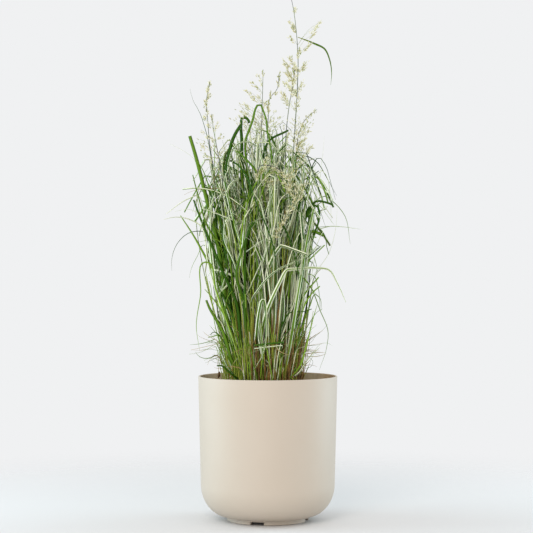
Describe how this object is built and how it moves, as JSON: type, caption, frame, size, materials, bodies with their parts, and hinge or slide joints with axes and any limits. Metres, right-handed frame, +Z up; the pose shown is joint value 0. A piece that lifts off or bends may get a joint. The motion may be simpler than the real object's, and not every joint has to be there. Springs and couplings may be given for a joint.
{
  "type": "potted feather reed grass",
  "caption": "Upright clump of variegated feather reed grass with airy cream flower heads, in a matte off-white round planter with a rounded lower edge and a foot ring.",
  "frame": {"origin": "on the ground under the middle of the pot", "axes": "+Z up, -Y the side that faces the camera, +X to its right"},
  "size_m": [0.432, 0.432, 1.1531],
  "materials": {
    "pot": "matte warm off-white, fine moulded texture",
    "potting_soil": "dark crumbly potting mix",
    "crown": "brown and tan old sheaths",
    "shoot": "green blades with cream stripes",
    "long_leaf": "green blades, some with cream margins",
    "flower_stem": "thin grey-green stems with cream spikelets"
  },
  "bodies": {
    "root": {"pot": "pot", "potting_soil": "potting_soil", "crown": "crown", "leaf_01": "long_leaf", "leaf_02": "long_leaf", "leaf_03": "long_leaf", "leaf_04": "long_leaf", "leaf_05": "long_leaf", "leaf_06": "long_leaf", "leaf_07": "long_leaf", "leaf_08": "long_leaf", "leaf_09": "long_leaf", "leaf_10": "long_leaf", "leaf_11": "long_leaf", "leaf_12": "long_leaf", "leaf_13": "long_leaf", "leaf_14": "long_leaf", "leaf_15": "long_leaf", "leaf_16": "long_leaf", "leaf_17": "long_leaf", "leaf_18": "long_leaf", "leaf_19": "long_leaf", "flower_stem_1": "flower_stem", "flower_stem_2": "flower_stem", "flower_stem_3": "flower_stem", "flower_stem_4": "flower_stem", "flower_stem_5": "flower_stem", "flower_stem_6": "flower_stem", "flower_stem_7": "flower_stem", "flower_stem_8": "flower_stem", "shoot_01": "shoot", "shoot_02": "shoot", "shoot_03": "shoot", "shoot_04": "shoot", "shoot_05": "shoot", "shoot_06": "shoot", "shoot_07": "shoot", "shoot_08": "shoot", "shoot_09": "shoot", "shoot_10": "shoot", "shoot_11": "shoot", "shoot_12": "shoot", "shoot_13": "shoot", "shoot_14": "shoot", "shoot_15": "shoot", "shoot_16": "shoot", "shoot_17": "shoot", "shoot_18": "shoot", "shoot_19": "shoot", "shoot_20": "shoot", "shoot_21": "shoot", "shoot_22": "shoot", "shoot_23": "shoot", "shoot_24": "shoot"}
  },
  "joints": []
}
